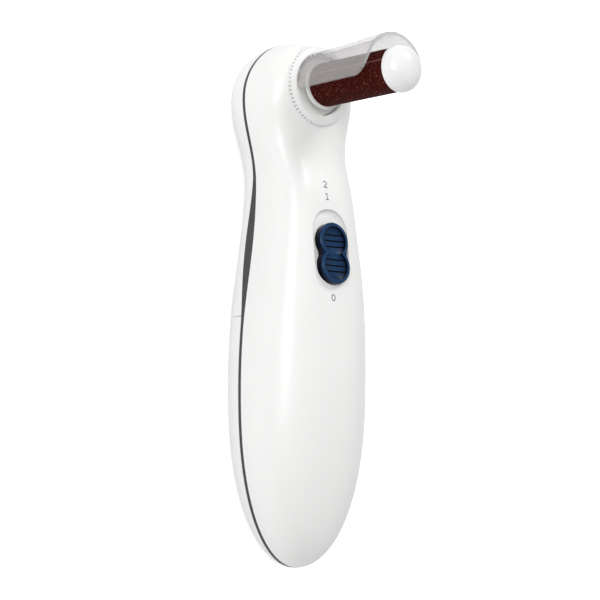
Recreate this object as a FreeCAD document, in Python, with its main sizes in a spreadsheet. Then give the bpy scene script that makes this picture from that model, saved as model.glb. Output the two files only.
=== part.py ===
import FreeCAD, Part

import math
import os
import re

import Sketcher

# An electric callus remover, lying on its back: X across, Y along the handle with the head
# towards +Y, Z up out of the front face. Z = 0 is the surface it rests on, and the parting
# plane of the two half shells is at Z = rear_depth. Distances "from the top" run down the
# handle from the tip of the head.

DRIVING = (
    ("body_length", 185.5, "tip of the head to tip of the tail"),
    ("head_width", 42.2, "across the head"),
    ("head_widest", 22.0, "from the top to the widest place of the head"),
    ("neck_width", 33.0, "across the neck"),
    ("neck_from_top", 50.0, "from the top to the narrowest place of the neck"),
    ("grip_width", 49.2, "across the grip"),
    ("grip_from_top", 129.0, "from the top to the widest place of the grip"),
    ("rear_depth", 16.0, "rest plane to parting plane"),
    ("rear_flat", 0.3, "how much the rear crown is flattened where it rests"),
    ("neck_depth", 12.7, "parting plane to the back of the neck"),
    ("face_height", 15.7, "parting plane to the flat face of the head"),
    ("head_crown", 17.5, "parting plane to the crown that the face is cut from"),
    ("valley_height", 15.2, "parting plane to the valley below the face"),
    ("shoulder_height", 19.4, "parting plane to the shoulder above the switch"),
    ("grip_height", 22.7, "parting plane to the crown of the grip"),
    ("wall", 2.0, "wall of the shells"),
    ("band_width", 1.3, "height of the trim band"),
    ("leaf_width", 4.2, "height of the trim band at its leaf"),
    ("leaf_from_top", 74.0, "from the top to the middle of the leaf"),
    ("leaf_reach", 31.0, "half the length of the leaf"),
    ("seam_gap", 0.04, "gap between fixed pieces that meet"),
    ("roller_from_top", 17.3, "from the top to the roller's axis"),
    ("collar_radius", 14.1, "serrated foot of the turning collar"),
    ("collar_front_radius", 12.1, "front edge of the turning collar"),
    ("collar_height", 1.9, "height of the turning collar"),
    ("collar_bore", 10.6, "bore of the turning collar"),
    ("skirt_wall", 1.2, "wall of the collar's skirt"),
    ("lip_reach", 0.6, "how far the collar's inner lip reaches past its skirt"),
    ("lip_height", 1.2, "height of the collar's inner lip"),
    ("serration_depth", 0.9, "depth of the notches in the collar's foot"),
    ("serrations", 60, "serrations round the collar's foot"),
    ("running_gap", 0.15, "gap beside a piece that turns or slides"),
    ("guard_base_radius", 11.6, "outside of the guard at its base"),
    ("guard_front_radius", 13.4, "outside of the guard at its front"),
    ("guard_wall", 1.2, "wall of the guard"),
    ("guard_length", 37.5, "length of the guard"),
    ("guard_drop", 2.2, "how far the guard's edges reach past the axis"),
    ("guard_corner", 8.0, "radius of the guard's front corners"),
    ("flange_radius", 8.7, "flange of the roller"),
    ("flange_height", 1.0, "thickness of the flange"),
    ("flange_gap", 2.9, "face of the head to the roller's flange"),
    ("sleeve_radius", 7.7, "outside of the abrasive sleeve"),
    ("sleeve_thickness", 1.0, "thickness of the abrasive sleeve"),
    ("sleeve_length", 37.5, "length of the abrasive sleeve"),
    ("cap_radius", 8.27, "end cap of the roller"),
    ("cap_height", 7.0, "height of the end cap's dome"),
    ("hub_radius", 4.2, "drive hub over its corners"),
    ("hub_length", 26.0, "length of the drive hub in front of the flange"),
    ("shaft_radius", 2.0, "radius of the roller's shaft"),
    ("module_size", 0.6, "module of the gears"),
    ("crown_teeth", 40, "teeth of the crown gear"),
    ("pinion_teeth", 10, "teeth of the pinion"),
    ("tooth_width", 2.0, "face width of the gears"),
    ("motor_width", 20.0, "motor across its round sides"),
    ("motor_thickness", 15.0, "motor across its flat sides"),
    ("motor_length", 25.0, "length of the motor's can"),
    ("motor_wall", 0.8, "wall of the motor's can"),
    ("motor_shaft_radius", 1.0, "radius of the motor's shaft"),
    ("motor_screw_reach", 6.5, "from the motor's axis to its face screws"),
    ("slot_width", 16.0, "width of the switch recess"),
    ("slot_length", 27.0, "length of the switch recess"),
    ("slot_from_top", 74.9, "from the top to the middle of the recess"),
    ("slot_depth", 1.2, "depth of the switch recess"),
    ("slot_tilt", 5.5, "slope of the switch recess, degrees"),
    ("lobe_radius", 6.5, "radius of each lobe of the slide button"),
    ("lobe_pitch", 8.8, "between the centres of the lobes"),
    ("waist_width", 10.8, "width of the slide button at its waist"),
    ("button_height", 3.1, "height of the slide button"),
    ("button_edge", 0.35, "bevel round the top of the slide button"),
    ("dish_radius", 5.15, "radius of each finger dish"),
    ("dish_wall", 0.6, "height of the wall round a finger dish"),
    ("dish_sag", 0.7, "how much the floor of a finger dish is hollowed"),
    ("rib_pitch", 2.1, "pitch of the grooves in a finger dish"),
    ("rib_depth", 0.35, "depth of the grooves in a finger dish"),
    ("switch_travel", 5.0, "travel of the slide button"),
    ("stem_radius", 2.0, "radius of the slide button's stem"),
    ("board_level", 10.0, "parting plane to the top of the circuit board"),
    ("frame_plate", 1.6, "thickness of the drive frame's plates"),
    ("bearing_radius", 4.5, "outside of the front bearing"),
    ("bush_radius", 3.2, "outside of the rear bush"),
    ("ear_reach", 12.6, "from the middle to the drive frame's screws"),
    ("cell_radius", 7.25, "radius of an AA cell"),
    ("cell_length", 50.5, "length of an AA cell"),
    ("nub_radius", 2.75, "radius of a cell's positive end"),
    ("nub_height", 1.2, "height of a cell's positive end"),
    ("cell_from_top", 104.5, "from the top to the cells"),
    ("contact_gap", 1.49, "between the end of a cell and its contact plate"),
    ("contact_plate", 0.3, "thickness of a contact plate"),
    ("plate_width", 9.0, "width of a contact plate"),
    ("plate_height", 8.0, "height of a contact plate"),
    ("plate_fit", 0.1, "clearance round a contact plate in the tray"),
    ("door_from_top", 96.0, "from the top to the battery cover's edge"),
    ("door_gap", 0.2, "gap round the battery cover"),
    ("screw_radius", 1.3, "radius of a case screw"),
    ("screw_head_radius", 2.2, "radius of a case screw's head"),
    ("screw_head_height", 1.7, "height of a case screw's head"),
    ("screw_seat", 8.24, "rest plane to the seat of a case screw's head"),
    ("head_screw_inset", 3.9, "inside of the head's widest place to its screws"),
    ("head_screw_back", 9.7, "roller's axis back to the head's screws"),
    ("grip_screw_inset", 4.2, "inside of the grip's wall to its screws"),
    ("grip_screw_ahead", 4.5, "battery cover's edge forward to the grip's screws"),
)

doc = FreeCAD.newDocument("callus_remover")
sheet = doc.addObject("Spreadsheet::Sheet", "Sizes")
for row, (alias, number, note) in enumerate(DRIVING, start=1):
    sheet.set(f"A{row}", note)
    sheet.set(f"B{row}", str(number))
    sheet.setAlias(f"B{row}", alias)
doc.recompute()

ALIASES = re.compile(r"\b(" + "|".join(alias for alias, _, _ in DRIVING) + r")\b")
TOP = "body_length / 2"
AXIS_Y = "(body_length / 2 - roller_from_top)"
FACE_Z = "(rear_depth + face_height)"
FLANGE_Z = "(rear_depth + face_height + flange_gap)"
SLEEVE_Z = "(rear_depth + face_height + flange_gap + flange_height)"
CAP_Z = "(rear_depth + face_height + flange_gap + flange_height + sleeve_length)"
MESH_Z = "(rear_depth + pinion_teeth * module_size / 2)"
CROWN_RADIUS = "(crown_teeth * module_size / 2)"
FRAME_Y = "(body_length / 2 - roller_from_top - crown_teeth * module_size / 2 - tooth_width)"
MOTOR_Y = f"({FRAME_Y} - 1.3)"
EAR_Y = "(body_length / 2 - roller_from_top - collar_radius - 2.4)"
DECK_Z = "(rear_depth + motor_thickness / 2 + 0.3)"
CELL_Z = "(rear_depth - 3.0)"
CELL_Y = "(body_length / 2 - cell_from_top - cell_length)"
CELL_X = "(cell_radius + 0.4)"
PLATE_Y = f"({CELL_Y} - contact_gap - contact_plate)"
PLATE_Z = f"({CELL_Z} - 1.5)"
LINK_WIDTH = "(cell_radius * 3.4)"
PLACES = {
    "x": "Placement.Base.x",
    "y": "Placement.Base.y",
    "z": "Placement.Base.z",
}
ALONG_Y = FreeCAD.Rotation(FreeCAD.Vector(1, 0, 0), -90)
HEAD_ROUNDNESS = 1.7
BELLY_ONSET = 0.8
TAIL_RUN = 2.3
TAIL_ROUNDNESS = 2.1
REAR_POWER = 2.5
PARTS = []


def size(text):
    """The number that an expression of the sheet's aliases works out to."""
    answer = sheet.evalExpression(text)
    return float(getattr(answer, "Value", answer))


def bind(item, path, text):
    """Binds one property of a document object to an expression of the sheet's aliases."""
    item.setExpression(path, ALIASES.sub(r"Sizes.\1", str(text)))


def keep(item, label):
    """Names a finished sub-part, which is exported under its label."""
    item.Label = label
    PARTS.append(item)
    return item


def solid(kind, turn=None, **bound):
    """A Part primitive whose sizes and place are bound to the sheet."""
    item = doc.addObject("Part::" + kind, kind)
    if turn:
        item.Placement = FreeCAD.Placement(FreeCAD.Vector(), turn)
    for key, text in bound.items():
        bind(item, PLACES.get(key, key), text)
    return item


def box(wide, long, tall, x="0", y="0", z="0"):
    """A box centred across X, with y and z at its low corner."""
    return solid("Box", Length=wide, Width=long, Height=tall, x=f"{x} - ({wide}) / 2", y=y, z=z)


def drum(radius, tall, x="0", y="0", z="0", turn=None):
    """A cylinder along Z, or along the way it is turned."""
    return solid("Cylinder", turn=turn, Radius=radius, Height=tall, x=x, y=y, z=z)


def fused(*items):
    """One solid of several."""
    item = doc.addObject("Part::MultiFuse", "Fused")
    item.Shapes = list(items)
    item.Refine = True
    return item


def cut(base, *tools):
    """A solid less one or more others."""
    item = doc.addObject("Part::Cut", "Cut")
    item.Base = base
    item.Tool = tools[0] if len(tools) == 1 else fused(*tools)
    return item


def common(first, second):
    """What two solids share."""
    item = doc.addObject("Part::Common", "Common")
    item.Base = first
    item.Tool = second
    return item


def grouped(label, items):
    """Several like pieces as separate solids under one name."""
    item = doc.addObject("Part::Compound", "Compound")
    item.Links = list(items)
    return keep(item, label)


def computed(label, shape, place=None):
    """A sub-part whose shape is worked out from the sheet's values by this script."""
    item = doc.addObject("Part::Feature", label)
    item.Shape = shape
    if place:
        item.Placement = place
    return keep(item, label)


def sketch_on(body, role, points, height=None):
    """A closed outline on one of a body's own planes, each corner bound to the sheet."""
    sketch = body.newObject("Sketcher::SketchObject", "Sketch")
    plane = next(p for p in body.Origin.OriginFeatures if p.Role == role)
    sketch.AttachmentSupport = [(plane, "")]
    sketch.MapMode = "FlatFace"
    if height:
        bind(sketch, "AttachmentOffset.Base.z", height)
    corners = [FreeCAD.Vector(size(u), size(v), 0) for u, v in points]
    count = len(corners)
    for i in range(count):
        sketch.addGeometry(Part.LineSegment(corners[i], corners[(i + 1) % count]), False)
    for i in range(count):
        sketch.addConstraint(Sketcher.Constraint("Coincident", i, 2, (i + 1) % count, 1))
    for i, corner in enumerate(points):
        for axis, kind, text, at in ((-2, "DistanceX", corner[0], corners[i].x),
                                     (-1, "DistanceY", corner[1], corners[i].y)):
            if abs(at) < 1e-9:
                sketch.addConstraint(Sketcher.Constraint("PointOnObject", i, 1, axis))
                continue
            number = sketch.addConstraint(Sketcher.Constraint(kind, -1, 1, i, 1, at))
            bind(sketch, f"Constraints[{number}]", text)
    return sketch


def new_body(label, **place):
    """A PartDesign body, placed by expressions."""
    body = doc.addObject("PartDesign::Body", label)
    for key, text in place.items():
        bind(body, PLACES[key], text)
    return keep(body, label)


def turned(label, points, **place):
    """A body of revolution about Z, from an outline of radius and height."""
    body = new_body(label, **place)
    sketch = sketch_on(body, "XZ_Plane", points)
    feature = body.newObject("PartDesign::Revolution", "Revolution")
    feature.Profile = sketch
    feature.ReferenceAxis = (sketch, ["V_Axis"])
    feature.Angle = 360
    doc.recompute()
    return body


def tube(label, outer, inner, low, high, **place):
    """A round tube about Z."""
    points = ((inner, low), (outer, low), (outer, high), (inner, high))
    return turned(label, points, **place)


def padded(label, points, length, height="0", **place):
    """A body padded along Z from an outline on its own XY plane."""
    body = new_body(label, **place)
    sketch = sketch_on(body, "XY_Plane", points, height)
    feature = body.newObject("PartDesign::Pad", "Pad")
    feature.Profile = sketch
    bind(feature, "Length", length)
    doc.recompute()
    return body


def polar_cut(body, points, depth, height, count):
    """Cuts one notch down from a height, and repeats it all round the body's Z axis."""
    before = body.Shape.Volume
    sketch = sketch_on(body, "XY_Plane", points, height)
    pocket = body.newObject("PartDesign::Pocket", "Pocket")
    pocket.Profile = sketch
    bind(pocket, "Length", depth)
    doc.recompute()
    if not body.Shape.Volume < before - 1e-6:
        raise RuntimeError(f"{body.Label}: the notch cuts nothing")
    pattern = body.newObject("PartDesign::PolarPattern", "PolarPattern")
    pattern.Originals = [pocket]
    pattern.Axis = (sketch, ["N_Axis"])
    pattern.Angle = 360
    bind(pattern, "Occurrences", count)
    body.Tip = pattern
    doc.recompute()


# ---------------------------------------------------------------- the outer form

def ease(u):
    """A smooth step from 0 to 1."""
    u = min(1.0, max(0.0, u))
    return (1 - math.cos(math.pi * u)) / 2


def half_width(d):
    """Half the body's width at a distance from the top."""
    head = size("head_width") / 2
    neck = size("neck_width") / 2
    grip = size("grip_width") / 2
    widest = size("head_widest")
    waist = size("neck_from_top")
    belly = size("grip_from_top")
    if d < widest:
        return head * (1 - (1 - d / widest) ** 2) ** (1 / HEAD_ROUNDNESS)
    if d < waist:
        return head + (neck - head) * ease((d - widest) / (waist - widest))
    if d < belly:
        return neck + (grip - neck) * ease(((d - waist) / (belly - waist)) ** BELLY_ONSET)
    v = (d - belly) / (size("body_length") - belly)
    return grip * max(0.0, 1 - v ** TAIL_RUN) ** (1 / TAIL_ROUNDNESS)


def tail_taper(d, power):
    """The fall of the crown or the back from the middle of the grip to the tail's tip."""
    start = size("grip_from_top") - 14
    v = max(0.0, d - start) / (size("body_length") - start)
    return max(0.0, 1 - v ** power) ** 0.5


def front_height(d):
    """Height of the crown over the parting plane at a distance from the top."""
    axis = size("roller_from_top")
    valley = axis + size("collar_radius") + 4.6
    neck = size("neck_from_top")
    shoulder_rise = size("shoulder_height - valley_height")
    grip_rise = size("grip_height - shoulder_height")
    height = size("valley_height")
    height += size("head_crown - valley_height") * (1 - ease((d - axis) / (valley - axis)))
    height += shoulder_rise * ease((d - valley) / (neck + 10 - valley))
    height += grip_rise * ease((d - valley) / (neck + 55 - valley))
    slope = 1.07 * size("face_height / (roller_from_top - collar_radius)")
    sharpness = 8
    height = (height ** -sharpness + (slope * d + 1e-3) ** -sharpness) ** (-1 / sharpness)
    return height * tail_taper(d, 1.75)


def rear_height(d):
    """Depth of the back under the parting plane at a distance from the top."""
    depth = size("rear_depth + rear_flat")
    neck = size("neck_from_top")
    head = size("head_widest")
    dip = depth - size("neck_depth")
    height = depth - dip * ease((d - head) / (neck - head)) * (1 - ease((d - neck) / 55))
    rise = (1 - max(0.0, 1 - d / 18) ** 2.2) ** (1 / 2.2)
    return height * rise * tail_taper(d, 2.4)


def front_power(d):
    """How square the front of a section is."""
    neck = size("neck_from_top")
    grip = size("grip_from_top")
    square = 3.2 + 1.1 * ease((d - 30) / (neck - 30))
    return square - 1.7 * ease((d - neck) / (grip - neck))


def whole_form(inset):
    """The outer form, or the hollow an inset inside it. Its sections are superellipses with
    their own squareness in front and behind, close together where the ends round off."""
    length = size("body_length")
    level = size("rear_depth")
    stations = 44
    quarter = 8
    tip = 0.06
    rows = []
    for i in range(stations + 1):
        share = (1 - math.cos(math.pi * i / stations)) / 2
        d = tip + (length - 2 * tip) * share
        wide, front, rear = half_width(d), front_height(d), rear_height(d)
        if inset:
            wide, front, rear = [reach - inset * math.tanh(reach / (3 * inset))
                                 for reach in (wide, front, rear)]
        y = length / 2 - inset - (length - 2 * inset) * (d / length)
        row = []
        for j in range(4 * quarter):
            angle = math.pi / 2 * j / quarter
            c = math.cos(angle)
            s = math.sin(angle)
            tall, power = (front, front_power(d)) if s >= 0 else (rear, REAR_POWER)
            reach = (abs(c) ** power + abs(s) ** power) ** (-1 / power)
            row.append(FreeCAD.Vector(wide * c * reach, y, level + tall * s * reach))
        rows.append(row + row[:1])
    surface = Part.BSplineSurface()
    surface.interpolate(rows)
    skin = surface.toShape()
    caps = [Part.Face(Part.Wire([edge])) for edge in skin.Edges if edge.isClosed()]
    shell = Part.makeShell([skin] + caps)
    shell.sewShape()
    form = Part.makeSolid(shell)
    if form.Volume < 0:
        form.reverse()
    return form


def block(x0, x1, y0, y1, z0, z1):
    """A box between two corners."""
    return Part.makeBox(x1 - x0, y1 - y0, z1 - z0, FreeCAD.Vector(x0, y0, z0))


def post(radius, x, y, z0, z1):
    """An upright cylinder."""
    return Part.makeCylinder(radius, z1 - z0, FreeCAD.Vector(x, y, z0))


def band_edge(d, upper):
    """Offset of the trim band's upper or lower edge from the parting plane."""
    half = size("band_width") / 2
    swell = size("leaf_width - band_width")
    reach = size("leaf_reach")
    u = abs(d - size("leaf_from_top")) / reach
    leaf = swell * (1 - ease(u)) if u < 1 else 0.0
    return half + 0.3 * leaf if upper else -half - 0.7 * leaf


def band_slab(upper_gap, lower_gap):
    """Everything between the trim band's two edges, as a slab across the body."""
    length = size("body_length")
    top = length / 2
    level = size("rear_depth")
    over = 2.0
    start = size("leaf_from_top - leaf_reach")
    finish = size("leaf_from_top + leaf_reach")
    places = [start + (finish - start) * i / 16 for i in range(17)]

    def edge(upper, gap):
        points = [FreeCAD.Vector(0, top - d, level + band_edge(d, upper) + gap) for d in places]
        curve = Part.BSplineCurve()
        curve.interpolate(points, InitialTangent=FreeCAD.Vector(0, -1, 0),
                          FinalTangent=FreeCAD.Vector(0, -1, 0))
        near = FreeCAD.Vector(0, top + over, points[0].z)
        far = FreeCAD.Vector(0, -top - over, points[-1].z)
        return near, [Part.makeLine(near, points[0]), curve.toShape(),
                      Part.makeLine(points[-1], far)], far

    near_up, up, far_up = edge(True, upper_gap)
    near_low, low, far_low = edge(False, lower_gap)
    sides = [Part.makeLine(near_up, near_low), Part.makeLine(far_up, far_low)]
    face = Part.Face(Part.Wire(Part.__sortEdges__(up + low + sides)))
    wide = size("grip_width + head_width")
    face.translate(FreeCAD.Vector(-wide / 2, 0, 0))
    return face.extrude(FreeCAD.Vector(wide, 0, 0))


def slot_place():
    """The frame of the switch recess: its Y runs along the slide, its Z out of the body."""
    d = size("slot_from_top")
    base = FreeCAD.Vector(0, size("body_length") / 2 - d, size("rear_depth") + front_height(d))
    return FreeCAD.Placement(base, FreeCAD.Rotation(FreeCAD.Vector(1, 0, 0), -size("slot_tilt")))


def stadium(wide, long, low, high):
    """An upright prism with round ends, along Y."""
    radius = wide / 2
    reach = long / 2 - radius
    prism = block(-radius, radius, -reach, reach, low, high)
    for y in (-reach, reach):
        prism = prism.fuse(post(radius, 0, y, low, high))
    return prism.removeSplitter()


def screw_posts():
    """Where the four case screws stand."""
    top = size("body_length") / 2
    head_x = size("head_width / 2 - wall - head_screw_inset")
    head_y = top - size("roller_from_top + head_screw_back")
    grip_x = half_width(size("door_from_top - grip_screw_ahead"))
    grip_x -= size("wall + grip_screw_inset")
    grip_y = top - size("door_from_top - grip_screw_ahead")
    return [(side * x, y) for x, y in ((head_x, head_y), (grip_x, grip_y)) for side in (-1, 1)]


def inner_posts(top, level):
    """Posts under the front shell: radius, place and lower end. They hold the drive frame, the
    circuit board and the battery tray."""
    deck = size(DECK_Z) + size("frame_plate") + 0.02
    board = level + size("board_level") + 0.02
    tray = size(CELL_Z) + size("cell_radius") + 3.02
    middle = top - size("slot_from_top")
    cell = top - size("cell_from_top")
    posts = [(size("screw_radius") + 1.1, side * size("ear_reach"), size(EAR_Y), deck)
             for side in (-1, 1)]
    posts += [(2.2, x, middle + y, board) for x in (-9, 9) for y in (-13, 13)]
    posts += [(1.5, x, middle + y, board - 2) for x in (-9, 9) for y in (-13, 13)]
    posts += [(3.0, 0, cell - share * size("cell_length"), tray) for share in (0.2, 0.75)]
    return posts


def make_shells():
    """Front shell, rear shell, battery cover and the trim band between them, all cut from one
    outer form and one hollow."""
    top = size("body_length") / 2
    level = size("rear_depth")
    wall = size("wall")
    gap = size("seam_gap")
    wide = size("grip_width + head_width")
    face_z = size(FACE_Z)
    axis_y = size(AXIS_Y)
    valley_y = axis_y - size("collar_radius") - 3.5
    high = level + size("grip_height") * 2

    outer = whole_form(0.0)
    inner = whole_form(wall)
    outer = outer.cut(block(-wide, wide, valley_y, top + 9, face_z, high))
    inner = inner.cut(block(-wide, wide, valley_y, top + 9, face_z - wall, high))
    outer = outer.cut(block(-wide, wide, -top - 9, top + 9, -9, 0))
    skin = outer.cut(inner)

    place = slot_place()
    slot_wide = size("slot_width")
    slot_long = size("slot_length")
    floor = -size("slot_depth")
    pan = stadium(slot_wide + 2 * wall, slot_long + 2 * wall, floor - wall, floor + 0.4)
    recess = stadium(slot_wide, slot_long, floor, 9.0)
    stem_wide = size("2 * stem_radius + 0.4")
    stem_slot = stadium(stem_wide, stem_wide + size("switch_travel") + 0.4, floor - 9, floor + 1)
    for shape in (pan, recess, stem_slot):
        shape.Placement = place

    boss = size("screw_radius") + 1.5
    front = skin.cut(band_slab(gap, -level))
    front = front.fuse(pan.common(outer))
    for x, y in screw_posts():
        front = front.fuse(post(boss, x, y, level + band_edge(0, True) + gap, high).common(outer))
    for radius, x, y, low in inner_posts(top, level):
        front = front.fuse(post(radius, x, y, low, high).common(outer))
    front = front.cut(recess).cut(stem_slot)
    front = front.cut(post(size("collar_bore + skirt_wall + running_gap"), 0, axis_y, level, high))
    lip = size("collar_bore + skirt_wall + lip_reach + running_gap")
    lip_low = face_z - wall - size("lip_height + 3 * running_gap")
    front = front.cut(post(lip, 0, axis_y, lip_low, face_z - wall))
    for x, y in screw_posts():
        front = front.cut(post(size("screw_radius") + 0.02, x, y, level - 1, level + 9))
    deck = size(DECK_Z)
    for side in (-1, 1):
        front = front.cut(post(size("screw_radius") + 0.02, side * size("ear_reach"),
                               size(EAR_Y), deck, deck + 4.8))

    rear = skin.cut(band_slab(2 * level, -gap))
    head = size("screw_head_radius")
    for x, y in screw_posts():
        rear = rear.fuse(post(head + 1.4, x, y, 0, level + band_edge(0, False) - gap).common(outer))
        rear = rear.cut(post(size("screw_radius") + 0.2, x, y, 0, level))
        rear = rear.cut(post(head + 0.3, x, y, -1, size("screw_seat")))

    door_y = top - size("door_from_top")
    bulge = 3.0
    radius = (size("grip_width") ** 2 / 4 + bulge ** 2) / (2 * bulge)
    arch = Part.makeCylinder(radius, 2 * level, FreeCAD.Vector(0, door_y - radius, -level))
    below = block(-wide, wide, -top - 9, door_y - bulge + 0.01, -9, level + 9)
    door_zone = arch.common(block(-wide, wide, door_y - 2 * bulge, top, -9, level + 9)).fuse(below)
    door = rear.common(door_zone)
    door = max(door.Solids, key=lambda s: s.Volume)
    slack = size("door_gap")
    cleared = door_zone.copy()
    cleared.translate(FreeCAD.Vector(0, slack, 0))
    rear = rear.cut(cleared)
    rear = max(rear.Solids, key=lambda s: s.Volume)
    door = door.cut(block(-wide, wide, -top - 9, top, level - size("band_width") / 2 - slack,
                          level + 9))
    ridge_y = door_y - 13
    for i in range(5):
        y = ridge_y - 2.2 * i
        door = door.cut(block(-8, 8, y - 0.6, y + 0.6, -1, 0.7))
    door = door.fuse(door_tongue(door_y, level)).removeSplitter()

    band = skin.common(band_slab(0.0, 0.0))
    computed("front_shell", front)
    computed("rear_shell", rear)
    computed("battery_cover", door)
    computed("trim_band", max(band.Solids, key=lambda s: s.Volume))


def door_tongue(door_y, level):
    """The tongue that slips under the rear shell's edge and holds the cover's front."""
    inside = level - (rear_height(size("door_from_top")) - size("wall"))
    low = inside + size("door_gap") + 0.4
    tongue = block(-5, 5, door_y - 8, door_y + 3, low, low + 1.4)
    root = block(-5, 5, door_y - 8, door_y - 3, low - 1.2, low + 0.2)
    return tongue.fuse(root)


# ---------------------------------------------------------------- guard and roller

def make_guard():
    """The turning collar and the clear half-round guard that stands on it."""
    low = f"{FACE_Z} + running_gap"
    skirt = "collar_bore + skirt_wall"
    under = f"{FACE_Z} - wall - running_gap"
    collar = turned("guard_collar", (
        ("collar_bore", f"{under} - lip_height"),
        ("collar_bore + skirt_wall + lip_reach", f"{under} - lip_height"),
        ("collar_bore + skirt_wall + lip_reach", under),
        (skirt, under),
        (skirt, low),
        ("collar_radius", low),
        ("collar_radius", f"{low} + 0.7"),
        ("collar_front_radius", f"{FACE_Z} + collar_height"),
        ("collar_bore", f"{FACE_Z} + collar_height"),
    ), y=AXIS_Y)
    root = "collar_radius - serration_depth"
    beyond = "collar_radius + 0.5"
    notch = ((root, "-0.3"), (beyond, "-0.45"), (beyond, "0.45"), (root, "0.3"))
    polar_cut(collar, notch, "3", f"{low} + serration_depth", "serrations")

    low = size(FACE_Z) + size("collar_height")
    high = low + size("guard_length")
    outer = (size("guard_base_radius"), size("guard_front_radius"))
    wall = size("guard_wall")
    drop = size("guard_drop")
    corner = size("guard_corner")
    shell = Part.makeCone(outer[0], outer[1], high - low).cut(
        Part.makeCone(outer[0] - wall, outer[1] - wall, high - low))
    reach = outer[1] + 1
    points = [FreeCAD.Vector(0, -drop, 0), FreeCAD.Vector(0, reach, 0),
              FreeCAD.Vector(0, reach, high - low), FreeCAD.Vector(0, corner - drop, high - low)]
    middle = FreeCAD.Vector(0, corner - drop - corner * math.sin(math.pi / 4),
                            high - low - corner + corner * math.cos(math.pi / 4))
    finish = FreeCAD.Vector(0, -drop, high - low - corner)
    edges = [Part.makeLine(points[i], points[i + 1]) for i in range(3)]
    edges.append(Part.Arc(points[3], middle, finish).toShape())
    edges.append(Part.makeLine(finish, points[0]))
    side = Part.Face(Part.Wire(edges))
    side.translate(FreeCAD.Vector(-reach, 0, 0))
    guard = shell.common(side.extrude(FreeCAD.Vector(2 * reach, 0, 0)))
    place = FreeCAD.Placement(FreeCAD.Vector(0, size(AXIS_Y), low), FreeCAD.Rotation())
    computed("clear_guard", guard, place)


def make_roller():
    """The roller that pulls off: a flanged core, the abrasive sleeve on it, and its end cap."""
    core = "(sleeve_radius - sleeve_thickness)"
    socket = "(hub_radius + running_gap)"
    turned("roller_core", (
        (socket, FLANGE_Z),
        ("flange_radius", FLANGE_Z),
        ("flange_radius", SLEEVE_Z),
        (core, SLEEVE_Z),
        (core, CAP_Z),
        ("hub_radius - 0.6", CAP_Z),
        ("hub_radius - 0.6", f"{SLEEVE_Z} + hub_length + 1"),
        (socket, f"{SLEEVE_Z} + hub_length + 1"),
    ), y=AXIS_Y)
    tube("abrasive_sleeve", "sleeve_radius", core, SLEEVE_Z, CAP_Z, y=AXIS_Y)

    radius = size("cap_radius")
    height = size("cap_height")
    rim = 1.2
    steps = 10
    profile = [FreeCAD.Vector(0, 0, 0), FreeCAD.Vector(radius - 0.3, 0, 0),
               FreeCAD.Vector(radius, 0, 0.3), FreeCAD.Vector(radius, 0, rim)]
    arc = [FreeCAD.Vector(radius * math.cos(a), 0, rim + (height - rim) * math.sin(a))
           for a in [math.pi / 2 * i / steps for i in range(steps + 1)]]
    arc[-1].x = 0
    curve = Part.BSplineCurve()
    curve.interpolate(arc, InitialTangent=FreeCAD.Vector(0, 0, 1),
                      FinalTangent=FreeCAD.Vector(-1, 0, 0))
    edges = [Part.makeLine(profile[i], profile[i + 1]) for i in range(3)]
    edges += [curve.toShape(), Part.makeLine(arc[-1], profile[0])]
    dome = Part.Face(Part.Wire(edges)).revolve(FreeCAD.Vector(), FreeCAD.Vector(0, 0, 1), 360)
    spigot = Part.makeCylinder(size("hub_radius - 0.6") - 0.02, 6, FreeCAD.Vector(0, 0, -6))
    cap = dome.fuse(spigot).removeSplitter()
    place = FreeCAD.Placement(FreeCAD.Vector(0, size(AXIS_Y), size(CAP_Z)), FreeCAD.Rotation())
    computed("end_cap", cap, place)


def make_spindle():
    """The shaft that carries the roller, with its crown gear, drive hub and retaining clip."""
    bottom = "(rear_depth - 10)"
    hub_low = f"({FACE_Z} - 1.5)"
    gear_low = f"({MESH_Z} + module_size * 1.25)"
    tube_top = f"({SLEEVE_Z} + hub_length)"
    turned("spindle_shaft", (("0", bottom), ("shaft_radius - 0.4", bottom),
                             ("shaft_radius", f"{bottom} + 0.4"), ("shaft_radius", tube_top),
                             ("0", tube_top)), y=AXIS_Y)
    outline = [(f"hub_radius * cos({60 * i})", f"hub_radius * sin({60 * i})") for i in range(6)]
    hub = padded("drive_hub", outline, f"{tube_top} - {hub_low} - 1", height=hub_low, y=AXIS_Y)
    bore_out(hub, "shaft_radius")
    make_crown_gear(gear_low)
    clip = tube("retaining_clip", "shaft_radius + 1.6", "shaft_radius", f"{bottom} + 5.1",
                f"{bottom} + 5.9", y=AXIS_Y)
    return clip


def bore_out(body, radius):
    """A round bore right through a body, on its Z axis."""
    before = body.Shape.Volume
    sketch = body.newObject("Sketcher::SketchObject", "Bore")
    plane = next(p for p in body.Origin.OriginFeatures if p.Role == "XY_Plane")
    sketch.AttachmentSupport = [(plane, "")]
    sketch.MapMode = "FlatFace"
    sketch.addGeometry(Part.Circle(FreeCAD.Vector(), FreeCAD.Vector(0, 0, 1), size(radius)), False)
    sketch.addConstraint(Sketcher.Constraint("Coincident", 0, 3, -1, 1))
    number = sketch.addConstraint(Sketcher.Constraint("Radius", 0, size(radius)))
    bind(sketch, f"Constraints[{number}]", radius)
    pocket = body.newObject("PartDesign::Pocket", "BorePocket")
    pocket.Profile = sketch
    pocket.Type = "ThroughAll"
    pocket.Midplane = True
    doc.recompute()
    if not body.Shape.Volume < before - 1e-6:
        raise RuntimeError(f"{body.Label}: the bore cuts nothing")


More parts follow.
